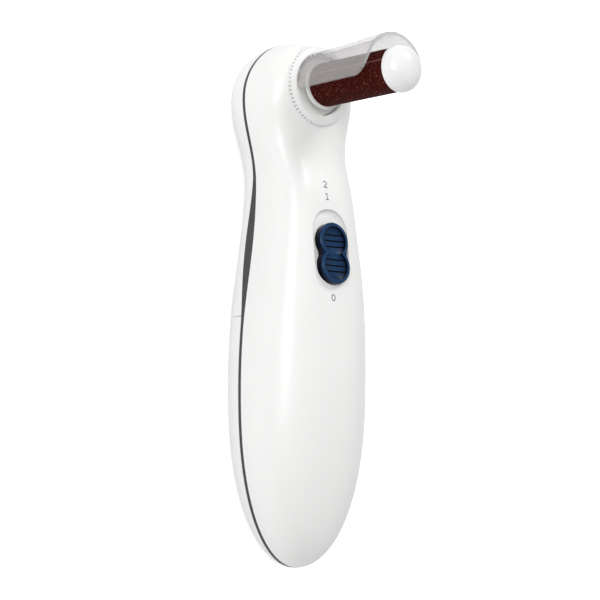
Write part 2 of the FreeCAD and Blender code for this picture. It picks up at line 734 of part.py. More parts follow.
def make_crown_gear(gear_low):
    """A disc with face teeth pointing down at the motor's pinion, on a boss round the shaft."""
    gear = size("module_size")
    pitch = size(CROWN_RADIUS)
    width = size("tooth_width")
    teeth = round(size("crown_teeth"))
    low = size(gear_low)
    plate = 1.8
    inner = pitch - width / 2
    outer = pitch + width / 2
    bore = size("shaft_radius")
    shape = post(outer, 0, 0, 0, plate).fuse(post(bore + 2.4, 0, 0, -3.5, plate))
    tip = gear * 1.0
    root = gear * 1.25
    quarter = math.pi * gear / 4
    slope = math.tan(math.radians(20))
    slack = 0.1
    sections = []
    for radius in (inner, outer):
        grow = radius / pitch
        wide = (quarter * grow + root * slope) - slack
        narrow = (quarter * grow - tip * slope) - slack
        corners = [FreeCAD.Vector(radius, -wide, 0.05), FreeCAD.Vector(radius, wide, 0.05),
                   FreeCAD.Vector(radius, narrow, -root - tip),
                   FreeCAD.Vector(radius, -narrow, -root - tip)]
        sections.append(Part.makePolygon(corners + corners[:1]))
    tooth = Part.makeLoft(sections, True, True)
    ring = []
    for i in range(teeth):
        copy = tooth.copy()
        copy.rotate(FreeCAD.Vector(), FreeCAD.Vector(0, 0, 1), 360 / teeth * (i + 0.5) - 90)
        ring.append(copy)
    shape = shape.multiFuse(ring).cut(post(bore, 0, 0, -9, 9))
    place = FreeCAD.Placement(FreeCAD.Vector(0, size(AXIS_Y), low), FreeCAD.Rotation())
    computed("crown_gear", shape, place)


def make_pinion():
    """A spur pinion on the motor's shaft, its teeth in mesh under the crown gear."""
    gear = size("module_size")
    teeth = round(size("pinion_teeth"))
    pitch = gear * teeth / 2
    outer = pitch + gear * 0.95
    root = pitch - gear * 1.2
    outline = []
    for i in range(teeth):
        middle = 2 * math.pi * i / teeth + math.pi / 2
        for radius, share in ((root, -0.30), (pitch, -0.225), (outer, -0.085),
                              (outer, 0.085), (pitch, 0.225), (root, 0.30)):
            angle = middle + share * 2 * math.pi / teeth
            outline.append(FreeCAD.Vector(radius * math.cos(angle), radius * math.sin(angle), 0))
    face = Part.Face(Part.makePolygon(outline + outline[:1]))
    shape = face.extrude(FreeCAD.Vector(0, 0, size("tooth_width") - 0.2))
    shape = shape.cut(post(size("motor_shaft_radius"), 0, 0, -9, 9))
    low = size(AXIS_Y) - size(CROWN_RADIUS) - size("tooth_width") / 2 + 0.1
    place = FreeCAD.Placement(FreeCAD.Vector(0, low, size("rear_depth")), ALONG_Y)
    computed("motor_pinion", shape, place)


def make_motor():
    """A small flat-sided motor: can, end cap, magnets, and the armature on its shaft."""
    length = "motor_length"
    back = f"({MOTOR_Y} - motor_length)"
    can = common(drum("motor_width / 2", length, y=back, z="rear_depth", turn=ALONG_Y),
                 box("motor_width", length, "motor_thickness", y=back,
                     z="rear_depth - motor_thickness / 2"))
    inside = f"{length} - motor_wall"
    hollow = common(drum("motor_width / 2 - motor_wall", inside, y=f"{back} - 0.01",
                         z="rear_depth", turn=ALONG_Y),
                    box("motor_width", inside, "motor_thickness - 2 * motor_wall",
                        y=f"{back} - 0.01", z="rear_depth - motor_thickness / 2 + motor_wall"))
    nose_bore = drum("motor_shaft_radius + 0.1", "9", y=f"{MOTOR_Y} - 4", z="rear_depth", turn=ALONG_Y)
    taps = [drum("0.85", "5", x=x, y=f"{MOTOR_Y} - 3", z="rear_depth", turn=ALONG_Y)
            for x in ("-motor_screw_reach", "motor_screw_reach")]
    keep(cut(can, hollow, nose_bore, *taps), "motor_can")

    fit = "(motor_wall + 0.05)"
    plug = common(drum(f"motor_width / 2 - {fit}", "3", y=back, z="rear_depth", turn=ALONG_Y),
                  box("motor_width", "3", f"motor_thickness - 2 * {fit}", y=back,
                      z=f"rear_depth - motor_thickness / 2 + {fit}"))
    boss = drum("3", "1.6", y=f"{back} - 1.5", z="rear_depth", turn=ALONG_Y)
    bore = drum("motor_shaft_radius + 0.1", "9", y=f"{back} - 4", z="rear_depth", turn=ALONG_Y)
    keep(cut(fused(plug, boss), bore), "motor_end_cap")

    ring = cut(drum(f"motor_width / 2 - {fit}", "motor_length - 8", y=f"{back} + 4", z="rear_depth",
                    turn=ALONG_Y),
               drum("motor_width / 2 - 2.6", "motor_length", y=back, z="rear_depth",
                    turn=ALONG_Y),
               box("motor_width", "motor_length", "motor_thickness", y=back,
                   z="rear_depth + 5"),
               box("motor_width", "motor_length", "motor_thickness", y=back,
                   z="rear_depth - 5 - motor_thickness"),
               box("6", "motor_length", "motor_thickness", y=back,
                   z="rear_depth - motor_thickness / 2"))
    keep(ring, "motor_magnets")

    rotor = cut(drum("6.2", "motor_length - 10", y=f"{back} + 5", z="rear_depth", turn=ALONG_Y),
                drum("motor_shaft_radius", "motor_length", y=back, z="rear_depth", turn=ALONG_Y),
                *[box("1.2", "motor_length", "9", y=back, z="rear_depth + 3.4")])
    keep(rotor, "motor_armature")
    keep(drum("motor_shaft_radius", f"motor_length + 1.2 + 1.3 + tooth_width + 0.4", y=f"{back} - 1.2",
              z="rear_depth", turn=ALONG_Y), "motor_shaft")
    heads = []
    for x in ("-motor_screw_reach", "motor_screw_reach"):
        heads.append(fused(drum("0.8", "3.4", x=x, y=f"{MOTOR_Y} - 2", z="rear_depth",
                                turn=ALONG_Y),
                           drum("1.5", "0.5", x=x, y=f"{MOTOR_Y} + 1.35", z="rear_depth",
                                turn=ALONG_Y)))
    grouped("motor_screws", heads)
    make_pinion()


def make_drive_frame():
    """The bracket that holds the motor's face and both of the shaft's bearings."""
    wall_y = f"({MOTOR_Y} + 0.02)"
    wide = "motor_width"
    face = box(wide, "1.28", "motor_thickness + 1.8", y=wall_y,
               z="rear_depth - motor_thickness / 2 - 1.5")
    deck_z = DECK_Z
    deck = box(wide, "roller_from_top + motor_length", "frame_plate", y=f"{AXIS_Y} - motor_length - 8",
               z=deck_z)
    ears = box("2 * ear_reach + 5", "6", "frame_plate", y=f"{EAR_Y} - 3", z=deck_z)
    ear_holes = [drum("screw_radius + 0.1", "4", x=f"{side} * ear_reach", y=EAR_Y,
                      z=f"{deck_z} - 1") for side in (-1, 1)]
    boss = drum("bearing_radius + 2", "5", y=AXIS_Y, z=f"{deck_z} - frame_plate")
    keel_z = "(rear_depth - motor_thickness / 2 - 1.5)"
    keel = box("10", "roller_from_top", "frame_plate", y=wall_y, z=keel_z)
    foot = drum("bush_radius + 1.4", "4", y=AXIS_Y, z=f"{keel_z} - frame_plate")
    bearing_hole = drum("bearing_radius", "40", y=AXIS_Y, z="rear_depth")
    bush_hole = drum("bush_radius", "12", y=AXIS_Y, z="0")
    nose_hole = drum("bush_radius", "9", y=f"{MOTOR_Y} - 1", z="rear_depth", turn=ALONG_Y)
    shanks = [drum("0.95", "9", x=x, y=f"{MOTOR_Y} - 1", z="rear_depth", turn=ALONG_Y)
              for x in ("-motor_screw_reach", "motor_screw_reach")]
    keep(cut(fused(face, deck, ears, boss, keel, foot), bearing_hole, bush_hole, nose_hole,
             *shanks, *ear_holes), "drive_frame")
    screws = []
    for side in (-1, 1):
        x = f"{side} * ear_reach"
        screws.append(fused(drum("screw_radius - 0.02", "5", x=x, y=EAR_Y, z=f"{deck_z} - 0.4"),
                            drum("screw_radius + 0.8", "0.9", x=x, y=EAR_Y,
                                 z=f"{deck_z} - 0.92")))
    grouped("frame_screws", screws)
    inner = "shaft_radius + 0.04"
    flange = "bearing_radius + 1.1"
    flange_low = f"{deck_z} + 3.4"
    flange_top = f"{deck_z} + 4.2"
    turned("front_bearing", (
        (inner, f"{deck_z} - 1.5"), ("bearing_radius", f"{deck_z} - 1.5"),
        ("bearing_radius", flange_low), (flange, flange_low), (flange, flange_top),
        (inner, flange_top),
    ), y=AXIS_Y)
    tube("rear_bush", "bush_radius", inner, f"{keel_z} - 1.5", f"{keel_z} + 2.4", y=AXIS_Y)
    cover_top = f"({FACE_Z} - 0.4)"
    cover_low = f"{cover_top} - 0.8"
    turned("bearing_cover", (
        ("hub_radius + 0.5", flange_top), (flange, flange_top), (flange, cover_low),
        ("collar_bore - 0.3", cover_low), ("collar_bore - 0.3", cover_top),
        ("hub_radius + 0.5", cover_top),
    ), y=AXIS_Y)


# ---------------------------------------------------------------- switch

def make_switch():
    """The slide button with its two ribbed finger dishes, and the stem and lever under it."""
    low = "(0.1 - slot_depth)"
    high = "(0.1 - slot_depth + button_height)"
    rest = "(0 - switch_travel / 2)"
    curve = "((dish_radius ^ 2 + dish_sag ^ 2) / (2 * dish_sag))"
    floor = f"({high} - dish_wall - dish_sag)"
    lobes = []
    cuts = []
    for side in ("-1", "1"):
        centre = f"({rest} + {side} * lobe_pitch / 2)"
        lobes.append(drum("lobe_radius", "button_height - button_edge", y=centre, z=low))
        lobes.append(solid("Cone", Radius1="lobe_radius", Radius2="lobe_radius - button_edge",
                           Height="button_edge", y=centre, z=f"{high} - button_edge"))
        cuts.append(drum("dish_radius", "dish_wall + 1", y=centre, z=f"{high} - dish_wall"))
        for grow, bars in (("0", None), ("rib_depth", (-1, 0, 1))):
            ball = solid("Sphere", Radius=f"{curve} + {grow}", y=centre,
                         z=f"{floor} + {curve}")
            well = common(drum("dish_radius", "3", y=centre, z=f"{floor} - 1"), ball)
            if bars:
                well = common(well, fused(*[
                    box("dish_radius * 2", "0.6", "4", z=f"{floor} - 1",
                        y=f"{centre} + {step} * rib_pitch - 0.3") for step in bars]))
            cuts.append(well)
    waist = box("waist_width", "lobe_radius", "button_height - button_edge",
                y=f"{rest} - lobe_radius / 2", z=low)
    button = cut(fused(waist, *lobes), *cuts)
    stem = stem_slot_piece(rest)
    place = slot_place()
    for item, label in ((button, "slide_button"), (stem, "switch_lever")):
        keep(item, label)
        item.Placement = place


def stem_slot_piece(rest):
    """The stem through the recess floor and the shoe that moves the switch's contacts."""
    stem = drum("stem_radius", "slot_depth + wall + 1.6", y=rest,
                z="0.1 - slot_depth - slot_depth - wall - 1.6")
    shoe = box("9", "9", "1.4", y=f"{rest} - 4.5", z="0.1 - slot_depth * 2 - wall - 2.9")
    return fused(stem, shoe)


def make_electronics():
    """The circuit board under the switch, the switch's body on it and a few parts."""
    board = cut(box("24", "32", "1.6", x="0", y=f"{TOP} - slot_from_top - 16",
                    z="rear_depth + board_level - 1.6"),
                *[drum("1.6", "4", x=x, y=f"{TOP} - slot_from_top + {y}", z="rear_depth + board_level - 3")
                  for x in ("-9", "9") for y in ("-13", "13")])
    keep(board, "circuit_board")
    keep(cut(box("12", "19", "5", y=f"{TOP} - slot_from_top - 10", z="rear_depth + board_level"),
             box("9.6", "16.6", "4", y=f"{TOP} - slot_from_top - 8.8", z="rear_depth + board_level + 1.2")),
         "switch_base")
    parts = [drum("2.4", "6", x="-8.6", y=f"{TOP} - slot_from_top + 2", z="rear_depth + board_level"),
             box("3", "5", "1.4", x="9", y=f"{TOP} - slot_from_top", z="rear_depth + board_level"),
             box("3", "5", "1.4", x="9", y=f"{TOP} - slot_from_top - 8", z="rear_depth + board_level")]
    grouped("board_parts", parts)


# ---------------------------------------------------------------- battery bay

def make_battery_bay():
    """The tray, two AA cells, and the springs and plates that join them."""
    wide = "(cell_radius * 4 + 3.4)"
    end = "3.2"
    long = f"(cell_length + 2 * {end} + 1.6)"
    tray_y = f"({CELL_Y} - {end} - 0.8)"
    body = box(wide, long, "cell_radius + 3", y=tray_y, z=CELL_Z)
    grooves = [drum("cell_radius + 0.25", "cell_length + 2 * 1.8", x=f"{side} * {CELL_X}",
                    y=f"{CELL_Y} - 1.8", z=CELL_Z, turn=ALONG_Y) for side in ("-1", "1")]
    mouth = box(f"{wide} - 2.4", "cell_length + 2 * 1.8", "1.0", y=f"{CELL_Y} - 1.8",
                z=f"{CELL_Z} - 0.5")
    around = "2 * plate_fit"
    pocket = (f"contact_plate + {around}", f"plate_height + {around}")
    low_z = f"{PLATE_Z} - plate_fit"
    pockets = [box(f"{LINK_WIDTH} + {around}", *pocket, y=f"{PLATE_Y} - plate_fit", z=low_z)]
    pockets += [box(f"plate_width + {around}", *pocket, x=f"{side} * {CELL_X}",
                    y=f"{CELL_Y} + cell_length + contact_gap - plate_fit", z=low_z)
                for side in ("-1", "1")]
    keep(cut(body, mouth, *grooves, *pockets), "battery_tray")
    for side, label in (("-1", "battery_cell_left"), ("1", "battery_cell_right")):
        x = f"{side} * {CELL_X}"
        way = side == "1"
        nub_y = f"{CELL_Y} + cell_length - nub_height - 0.1" if way else CELL_Y
        can_y = CELL_Y if way else f"{CELL_Y} + nub_height"
        keep(fused(drum("cell_radius", "cell_length - nub_height", x=x, y=can_y, z=CELL_Z,
                        turn=ALONG_Y),
                   drum("nub_radius", "nub_height + 0.1", x=x, y=nub_y, z=CELL_Z,
                        turn=ALONG_Y)), label)
    make_contacts()


def make_contacts():
    """A coil spring on each cell's flat end, and a plate behind every contact."""
    far = f"({CELL_Y} + cell_length)"
    near = f"({CELL_Y} - contact_gap)"
    springs = []
    plates = [box(LINK_WIDTH, "contact_plate", "plate_height", y=PLATE_Y, z=PLATE_Z)]
    for side, spring_y, stud_y in ((1, near, far), (-1, far, near)):
        x = f"{side} * {CELL_X}"
        springs.append(fused(*[
            solid("Torus", turn=ALONG_Y, Radius1="2.6", Radius2="0.25", x=x, z=CELL_Z,
                  y=f"{spring_y} + 0.275 + 0.47 * {turn}") for turn in range(3)]))
        stud = drum("2", "contact_gap", x=x, y=stud_y, z=CELL_Z, turn=ALONG_Y)
        plate = box("plate_width", "contact_plate", "plate_height", x=x,
                    y=f"{far} + contact_gap", z=PLATE_Z)
        if side > 0:
            plates.append(fused(plate, stud))
        else:
            plates[0] = fused(plates[0], stud)
            plates.append(plate)
    grouped("contact_springs", springs)
    grouped("contact_plates", plates)


def make_screws():
    """The four case screws, driven in from the back."""
    screws = []
    seat = size("screw_seat") - 0.02
    low = seat - size("screw_head_height")
    arm = size("screw_head_radius") * 0.6
    slot = 0.3
    for x, y in screw_posts():
        shank = post(size("screw_radius") - 0.02, x, y, seat - 0.02, size("rear_depth") + 8)
        head = post(size("screw_head_radius"), x, y, low, seat)
        cross = block(x - arm, x + arm, y - slot, y + slot, low - 1, low + 0.8).fuse(
            block(x - slot, x + slot, y - arm, y + arm, low - 1, low + 0.8))
        screws.append(shank.fuse(head).cut(cross).removeSplitter())
    computed("case_screws", Part.makeCompound(screws))


def check_and_write():
    """Checks every object and writes each sub-part to its own file."""
    doc.recompute()
    for item in doc.Objects:
        if "Invalid" in item.State or "Error" in item.State:
            raise RuntimeError(f"{item.Name} ({item.Label}) failed: {item.State}")
    os.makedirs("parts", exist_ok=True)
    for item in PARTS:
        if item.Shape.isNull() or not item.Shape.isValid():
            raise RuntimeError(f"{item.Label} has no valid shape")
    for item in PARTS:
        item.Shape.exportStep(f"parts/{item.Label}.step")
        print(f"{item.Label:22} {len(item.Shape.Solids):3} solids {item.Shape.Volume:10.1f} mm3")


make_shells()
make_guard()
make_roller()
make_spindle()
make_drive_frame()
make_motor()
make_switch()
make_electronics()
make_battery_bay()
make_screws()
check_and_write()
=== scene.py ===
import math

import bmesh
import bpy
from mathutils import Matrix, Vector
from mathutils.bvhtree import BVHTree


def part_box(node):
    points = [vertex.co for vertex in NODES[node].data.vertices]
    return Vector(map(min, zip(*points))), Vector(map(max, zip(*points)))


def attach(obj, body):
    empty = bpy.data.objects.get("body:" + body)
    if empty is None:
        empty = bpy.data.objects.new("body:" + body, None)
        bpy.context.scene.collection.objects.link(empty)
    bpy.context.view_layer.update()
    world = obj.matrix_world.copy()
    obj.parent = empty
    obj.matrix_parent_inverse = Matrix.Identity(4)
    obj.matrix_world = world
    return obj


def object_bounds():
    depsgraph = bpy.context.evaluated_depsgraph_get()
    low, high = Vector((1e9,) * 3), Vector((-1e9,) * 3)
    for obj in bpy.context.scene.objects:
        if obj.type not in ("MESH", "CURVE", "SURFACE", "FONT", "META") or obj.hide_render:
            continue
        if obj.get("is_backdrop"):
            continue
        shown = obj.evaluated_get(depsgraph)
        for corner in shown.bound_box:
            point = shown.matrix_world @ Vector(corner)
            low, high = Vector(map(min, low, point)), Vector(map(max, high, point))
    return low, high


bl_info = {
    "name": "Callus Remover Finish",
    "version": (1, 0, 0),
    "blender": (4, 5, 0),
    "location": "3D View > Sidebar > Callus Remover",
    "description": "Moulded plastics, grit, guard and studio for a battery callus remover",
    "category": "Object",
}

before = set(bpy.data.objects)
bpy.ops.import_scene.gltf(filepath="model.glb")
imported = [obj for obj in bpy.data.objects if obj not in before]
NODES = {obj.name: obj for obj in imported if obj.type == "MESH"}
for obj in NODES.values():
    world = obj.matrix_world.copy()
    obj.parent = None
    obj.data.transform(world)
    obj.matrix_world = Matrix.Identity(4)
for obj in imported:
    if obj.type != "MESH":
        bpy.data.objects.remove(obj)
MM = 0.001

# A Mix node has several sockets with the names A and B, so they are told apart by their places.
VALUE_A, VALUE_B, VALUE_MIXED = 2, 3, 0
COLOUR_A, COLOUR_B, COLOUR_MIXED = 6, 7, 2

# A typical refractive index for each clear or glossy plastic.
PLASTIC_IOR = 1.53
POLYCARBONATE_IOR = 1.585

# The camera's axes: it looks from the front left, a little from the tail's side.
CAMERA_RIGHT = Vector((0.7490, 0.0, 0.6626))
CAMERA_UP = Vector((-0.08075, 0.99255, 0.09128))
CAMERA_BACK = Vector((-0.6577, -0.1219, 0.7434))
CAMERA_ROLL = math.radians(-0.77)
SENSOR_MM = 36.0


def linear(text):
    """An sRGB hex colour as linear red, green and blue."""
    values = [int(text[i:i + 2], 16) / 255 for i in (1, 3, 5)]
    return tuple(v / 12.92 if v <= 0.04045 else ((v + 0.055) / 1.055) ** 2.4 for v in values)


def colour_property(name, description, text):
    """A colour that a user can change, with its sRGB hex default."""
    return bpy.props.FloatVectorProperty(
        name=name, description=description, subtype="COLOR", size=3, min=0.0, max=1.0,
        default=linear(text))


def length_property(name, description, millimetres):
    """A length that a user can change."""
    return bpy.props.FloatProperty(
        name=name, description=description, default=millimetres * MM, min=0.0,
        subtype="DISTANCE", unit="LENGTH")


class HandleSettings(bpy.types.PropertyGroup):
    """Colours of the moulded handle, and the sizes and places of its numerals."""
    shell: colour_property("Shell", "White ABS of the shells, covers and collar", "#f4f4f3")
    cap: colour_property("End cap", "Polished white ABS of the end cap", "#f1f1f1")
    trim: colour_property("Trim band", "Dark grey ABS between the shells", "#343435")
    button: colour_property("Button", "Navy ABS of the slide button", "#031a36")
    # The button rim colour is a painted highlight laid on the open rims of the button.
    button_rim_highlight: colour_property("Button rim", "Highlight-painted rims of the button", "#1b3a5e")
    print_grey: colour_property("Numerals", "Grey ink of the switch numerals", "#6f7071")
    numeral_height: length_property("Numeral height", "Height of the printed numerals", 2.5)
    numeral_line: length_property("Numeral line", "Width of the numerals' strokes", 0.36)
    numeral_2: length_property("Numeral 2", "From the head's tip to the 2", 52.5)
    numeral_1: length_property("Numeral 1", "From the head's tip to the 1", 56.9)
    numeral_0: length_property("Numeral 0", "From the head's tip to the 0", 92.8)


class RollerSettings(bpy.types.PropertyGroup):
    """The abrasive sleeve and the guard over it."""
    grit: colour_property("Grit", "Maroon mineral grit", "#420c05")
    grain: colour_property("Pale grain", "The odd paler grain in the grit", "#8a5d54")
    seam_angle: bpy.props.FloatProperty(
        name="Seam angle", description="Where the paper tube's seam lies round the roller",
        default=math.radians(159.5), subtype="ANGLE")
    grain_size: length_property("Grain size", "Across one grain", 0.27)
    grain_count: bpy.props.IntProperty(
        name="Grains", description="How many grains stand proud of the sleeve",
        default=5600, min=0, max=9000)
    # The guard colour is the haze of the polycarbonate plus a faint pink cast, a painted
    # reflection of the maroon sleeve.
    guard: colour_property("Guard", "Slightly hazy polycarbonate", "#cbc7c7")
    guard_rim: colour_property("Guard rim", "Front edge of the guard, seen through its depth",
                               "#b4b4b4")
    guard_haze: bpy.props.FloatProperty(
        name="Guard haze", description="How much each face of the guard veils what is behind",
        default=0.30, min=0.0, max=1.0, subtype="FACTOR")


class StageSettings(bpy.types.PropertyGroup):
    """The camera, the floor and the soft lights."""
    distance: bpy.props.FloatProperty(
        name="Camera distance", description="From the camera to the appliance", default=1.3,
        min=0.2, unit="LENGTH")
    picture_width: length_property("Picture width", "Width of the view at the appliance", 211.3)
    key_power: bpy.props.FloatProperty(
        name="Key power", description="Power of the softbox on the left", default=6.0,
        unit="POWER")
    top_power: bpy.props.FloatProperty(
        name="Top power", description="Power of the softbox beyond the head", default=5.2,
        unit="POWER")
    fill: bpy.props.FloatProperty(
        name="Fill", description="Strength of the even white surround", default=0.572, min=0.0)
    floor_shine: bpy.props.FloatProperty(
        name="Floor shine", description="How much brighter the sweep looks than it is lit",
        default=0.45, min=0.0)
    floor: colour_property("Floor", "Matt white sweep", "#f6f6f6")


# ---------------------------------------------------------------- shader helpers

def add(tree, kind, links=(), **settings):
    """Adds a node with its settings. A link is (input, output socket of another node)."""
    node = tree.nodes.new(kind)
    for key, value in settings.items():
        if key in node.bl_rna.properties:
            setattr(node, key, value)
        else:
            name = key.replace("_", " ")
            socket = next(s for s in node.inputs if s.name.lower() == name.lower())
            socket.default_value = value
    for name, output in links:
        tree.links.new(output, node.inputs[name])
    return node


def new_material(name):
    """An empty material with its tree, output and a Principled shader."""
    material = bpy.data.materials.new(name)
    material.use_nodes = True
    tree = material.node_tree
    tree.nodes.clear()
    shader = tree.nodes.new("ShaderNodeBsdfPrincipled")
    output = tree.nodes.new("ShaderNodeOutputMaterial")
    tree.links.new(shader.outputs["BSDF"], output.inputs["Surface"])
    return material, tree, shader


def rgba(colour):
    """A colour with full alpha, for a socket."""
    return (*colour[:3], 1.0)


def shade(colour, factor):
    """The same colour, darker or lighter."""
    return tuple(min(1.0, v * factor) for v in colour[:3])


def mottle(tree, colour, cell_mm, spread):
    """Colour that drifts a little over patches of a real size, as pigment in plastic does."""
    place = add(tree, "ShaderNodeTexCoord")
    noise = add(tree, "ShaderNodeTexNoise", links=[("Vector", place.outputs["Object"])],
                Scale=1 / (cell_mm * MM), Detail=3.0, Roughness=0.55)
    mixed = add(tree, "ShaderNodeMix", data_type="RGBA",
                links=[("Factor", noise.outputs["Fac"])])
    mixed.inputs[COLOUR_A].default_value = rgba(shade(colour, 1 - spread))
    mixed.inputs[COLOUR_B].default_value = rgba(shade(colour, 1 + spread))
    return place, mixed.outputs[COLOUR_MIXED]


def bump(tree, height, depth_mm, normal=None):
    """A bump of a real depth from a height that runs from 0 to 1."""
    links = [("Height", height)]
    if normal:
        links.append(("Normal", normal))
    return add(tree, "ShaderNodeBump", links=links, Strength=1.0,
               Distance=depth_mm * MM).outputs["Normal"]


def moulded(name, colour, roughness, spread=0.012, texture_mm=0.35, texture_depth=0.0015,
            wave_depth=0.0, coat=0.0, specular=0.5):
    """Injection-moulded plastic: near-even pigment, a fine mould texture, and the slow waviness
    that a moulding's skin has, which bends long highlights a little."""
    pigment_patch_mm = 9.0
    wave_mm = 16
    wear = 0.03
    material, tree, shader = new_material(name)
    place, tint = mottle(tree, colour, pigment_patch_mm, spread)
    tree.links.new(tint, shader.inputs["Base Color"])
    normal = None
    if wave_depth:
        slow = add(tree, "ShaderNodeTexNoise", links=[("Vector", place.outputs["Object"])],
                   Scale=1 / (wave_mm * MM), Detail=0.0)
        normal = bump(tree, slow.outputs["Fac"], wave_depth)
    fine = add(tree, "ShaderNodeTexNoise", links=[("Vector", place.outputs["Object"])],
               Scale=1 / (texture_mm * MM), Detail=2.0)
    normal = bump(tree, fine.outputs["Fac"], texture_depth, normal)
    tree.links.new(normal, shader.inputs["Normal"])
    patch = add(tree, "ShaderNodeMapRange", links=[("Value", fine.outputs["Fac"])],
                To_Min=roughness - wear, To_Max=roughness + wear)
    tree.links.new(patch.outputs["Result"], shader.inputs["Roughness"])
    shader.inputs["IOR"].default_value = PLASTIC_IOR
    shader.inputs["Coat Weight"].default_value = coat
    shader.inputs["Coat Roughness"].default_value = 0.2
    shader.inputs["Specular IOR Level"].default_value = specular
    return material


def button_material(settings):
    """Semi-gloss navy ABS with painted light in its colour: a painted highlight on its open rims
    and painted shade in its dishes and grooves, so the tone follows how open each place is."""
    material = moulded("navy_abs", settings.button, 0.24, spread=0.05, texture_depth=0.002,
                       specular=0.12)
    tree = material.node_tree
    shader = tree.nodes["Principled BSDF"]
    open_sky = add(tree, "ShaderNodeAmbientOcclusion", samples=16, Distance=4.0 * MM)
    tone = add(tree, "ShaderNodeValToRGB", links=[("Fac", open_sky.outputs["AO"])])
    # How open a groove, a dish and a rim are, and the tone of each: painted shade, plain navy,
    #     painted highlight.
    groove_open, dish_open, rim_open = 0.5, 0.88, 1.0
    painted_shade_factor = 0.06
    groove_shade, rim_highlight = tone.color_ramp.elements
    groove_shade.position = groove_open
    groove_shade.color = rgba(shade(settings.button, painted_shade_factor))
    rim_highlight.position = rim_open
    rim_highlight.color = rgba(settings.button_rim_highlight)
    dish = tone.color_ramp.elements.new(dish_open)
    dish.color = rgba(settings.button)
    tree.links.new(tone.outputs["Color"], shader.inputs["Base Color"])
    return material


def metal(name, colour, roughness, grain_mm=0.5, streak=(1.0, 1.0, 1.0), depth=0.002):
    """Metal with a drawn, pressed or turned skin: fine streaks along one way."""
    tarnish_mm, tarnish = 3.0, 0.06
    wear = 0.08
    material, tree, shader = new_material(name)
    place, tint = mottle(tree, colour, tarnish_mm, tarnish)
    tree.links.new(tint, shader.inputs["Base Color"])
    turn = add(tree, "ShaderNodeMapping", links=[("Vector", place.outputs["Object"])],
               Scale=streak)
    grain = add(tree, "ShaderNodeTexNoise", links=[("Vector", turn.outputs["Vector"])],
                Scale=1 / (grain_mm * MM), Detail=3.0)
    tree.links.new(bump(tree, grain.outputs["Fac"], depth), shader.inputs["Normal"])
    patch = add(tree, "ShaderNodeMapRange", links=[("Value", grain.outputs["Fac"])],
                To_Min=roughness - wear, To_Max=roughness + wear)
    tree.links.new(patch.outputs["Result"], shader.inputs["Roughness"])
    shader.inputs["Metallic"].default_value = 1.0
    return material


def grit_material(name, settings, cell_mm):
    """Silicon-carbide grit bonded to a paper tube in maroon resin: matt, each grain painted at
    random with a shadow or glint tone as if its facet lost or caught the light, with the odd pale
    grain, and one thin pale line along the tube where the paper's edges meet."""
    pale_from = 0.93
    shadow, glint = 0.25, 1.45
    seam_core_mm, seam_edge_mm, seam_strength = 0.12, 0.32, 0.75
    facet_mm, resin_mm, resin_depth_mm = 0.12, 0.3, 0.06
    material, tree, shader = new_material(name)
    place = add(tree, "ShaderNodeTexCoord")

    # Each grain gets a painted shadow or glint tone at random, and a few are pale.
    cells = add(tree, "ShaderNodeTexVoronoi", links=[("Vector", place.outputs["Object"])],
                Scale=1 / (cell_mm * MM))
    pick = add(tree, "ShaderNodeSeparateColor", links=[("Color", cells.outputs["Color"])])
    pale = add(tree, "ShaderNodeMapRange", links=[("Value", pick.outputs["Red"])],
               From_Min=pale_from)
    painted_facet_light = add(tree, "ShaderNodeMix", data_type="RGBA",
               links=[("Factor", pick.outputs["Green"])])
    painted_facet_light.inputs[COLOUR_A].default_value = rgba(shade(settings.grit, shadow))
    painted_facet_light.inputs[COLOUR_B].default_value = rgba(shade(settings.grit, glint))
    mixed = add(tree, "ShaderNodeMix", data_type="RGBA",
                links=[("Factor", pale.outputs["Result"]),
                       (COLOUR_A, painted_facet_light.outputs[COLOUR_MIXED])])
    mixed.inputs[COLOUR_B].default_value = rgba(settings.grain)

    # The seam lies on one side of the roller's axis only.
    low, high = (Vector(corner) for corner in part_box("abrasive_sleeve"))
    centre = (low + high) / 2
    turn = add(tree, "ShaderNodeMapping", vector_type="TEXTURE",
               links=[("Vector", place.outputs["Object"])])
    turn.inputs["Location"].default_value = (centre.x, centre.y, 0)
    turn.inputs["Rotation"].default_value = (0, 0, settings.seam_angle)
    split = add(tree, "ShaderNodeSeparateXYZ", links=[("Vector", turn.outputs["Vector"])])
    away = add(tree, "ShaderNodeMath", operation="ABSOLUTE", links=[(0, split.outputs["Y"])])
    line = add(tree, "ShaderNodeMapRange", links=[("Value", away.outputs["Value"])],
               From_Min=seam_core_mm * MM, From_Max=seam_edge_mm * MM,
               To_Min=seam_strength, To_Max=0.0)
    front = add(tree, "ShaderNodeMath", operation="GREATER_THAN",
                links=[(0, split.outputs["X"])])
    front.inputs[1].default_value = 0.0
    seam = add(tree, "ShaderNodeMath", operation="MULTIPLY",
               links=[(0, line.outputs["Result"]), (1, front.outputs["Value"])])
    seamed = add(tree, "ShaderNodeMix", data_type="RGBA",
                 links=[("Factor", seam.outputs["Value"]),
                        (COLOUR_A, mixed.outputs[COLOUR_MIXED])])
    seamed.inputs[COLOUR_B].default_value = rgba(settings.grain)
    tree.links.new(seamed.outputs[COLOUR_MIXED], shader.inputs["Base Color"])

    rough = add(tree, "ShaderNodeTexNoise", links=[("Vector", place.outputs["Object"])],
                Scale=1 / (resin_mm * MM), Detail=3.0)
    normal = bump(tree, cells.outputs["Distance"], facet_mm)
    tree.links.new(bump(tree, rough.outputs["Fac"], resin_depth_mm, normal),
                   shader.inputs["Normal"])
    shader.inputs["Roughness"].default_value = 0.72
    shader.inputs["Specular IOR Level"].default_value = 0.06
    return material


